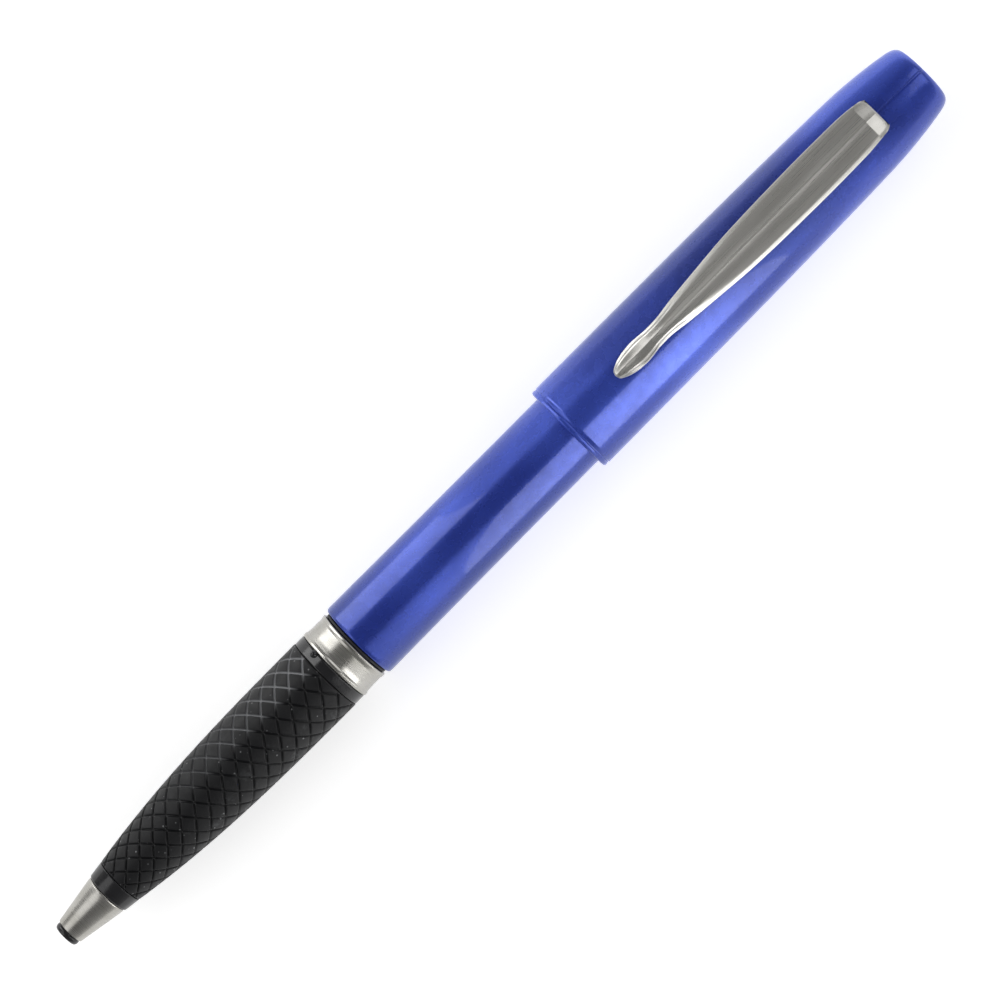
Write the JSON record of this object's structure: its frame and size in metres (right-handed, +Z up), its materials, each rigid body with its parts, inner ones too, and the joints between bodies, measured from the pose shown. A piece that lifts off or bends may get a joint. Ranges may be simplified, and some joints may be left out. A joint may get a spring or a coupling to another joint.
{
  "type": "rollerball pen",
  "caption": "Slim rollerball pen, pearl blue, with a posted push cap, tapered steel pocket clip, diamond-grooved rubber grip and steel nose.",
  "frame": {"origin": "bottom centre of the bounding box: under the cap's lowest line, halfway along the pen", "axes": "+X along the pen from the nose to the crown, +Z up through the pocket clip, +Y to the pen's left seen from the nose"},
  "size_m": [0.1406, 0.012, 0.0137],
  "materials": {
    "pearl_blue": "glossy pearlescent",
    "polished_steel": "finely brushed, polished",
    "gloss_black": "glossy",
    "grip_rubber": "matte",
    "seal_rubber": "matte",
    "brass": "turned",
    "white_plastic": "moulded",
    "grey_plastic": "moulded",
    "tip_steel": "polished",
    "clear_tube": "translucent",
    "ink": "wet",
    "spring_steel": "drawn wire"
  },
  "bodies": {
    "barrel": {"barrel_tube": "pearl_blue", "thread_bush": "brass", "stem_eyelet": "polished_steel", "guide_sleeve": "white_plastic"},
    "section_ring": {"trim_ring": "polished_steel", "seal_ring": "seal_rubber"},
    "section": {"nose_bush": "gloss_black", "nose_cone": "polished_steel", "section_core": "gloss_black", "grip_sleeve": "grip_rubber"},
    "refill": {"refill_tip": "tip_steel", "refill_neck": "gloss_black", "refill_tube": "clear_tube", "ink_fill": "ink", "refill_plug": "white_plastic", "refill_spring": "spring_steel"},
    "ball": {"writing_ball": "tip_steel"},
    "cam": {"cam_rotor": "white_plastic"},
    "thrust": {"plunger": "grey_plastic"},
    "cap": {"cap_shell": "pearl_blue", "cap_liner": "grey_plastic", "crown_plug": "grey_plastic"},
    "clip": {"pocket_clip": "polished_steel"}
  },
  "joints": [
    {"name": "cap_press", "type": "slide", "parent": "barrel", "child": "thrust", "axis": [-1, 0, 0], "range_m": [0, 0.005], "stiffness_N_per_m": 350, "springref_m": -0.004},
    {"name": "cap_pull", "type": "slide", "parent": "thrust", "child": "cap", "axis": [1, 0, 0], "range_m": [0, 0.058]},
    {"name": "clip_flex", "type": "hinge", "parent": "cap", "child": "clip", "pos_m": [0.0607, 0, 0.01059], "axis": [0, 1, 0], "range_deg": [0, 3.5], "stiffness_Nm_per_rad": 0.6, "springref_deg": -1.72},
    {"name": "refill_advance", "type": "slide", "parent": "barrel", "child": "refill", "axis": [-1, 0, 0], "range_m": [0, 0.005], "deforming": ["refill_spring"]},
    {"name": "cam_turn", "type": "hinge", "parent": "refill", "child": "cam", "pos_m": [0.0319, 0, 0.00599], "axis": [1, 0, 0], "range_deg": [0, 45]},
    {"name": "ball_roll", "type": "hinge", "parent": "refill", "child": "ball", "pos_m": [-0.0682, 0, 0.00599], "axis": [0, 1, 0], "continuous": true},
    {"name": "section_travel", "type": "slide", "parent": "barrel", "child": "section_ring", "axis": [-1, 0, 0], "range_m": [0, 0.006]},
    {"name": "section_turn", "type": "hinge", "parent": "section_ring", "child": "section", "pos_m": [-0.0242, 0, 0.00599], "axis": [-1, 0, 0], "range_deg": [0, 2160]}
  ],
  "couplings": [
    {"joint": "refill_advance", "follows": "cap_press", "ratio": 1},
    {"joint": "cam_turn", "follows": "cap_press", "rad_per_m": 157},
    {"joint": "section_turn", "follows": "section_travel", "rad_per_m": 6280}
  ]
}
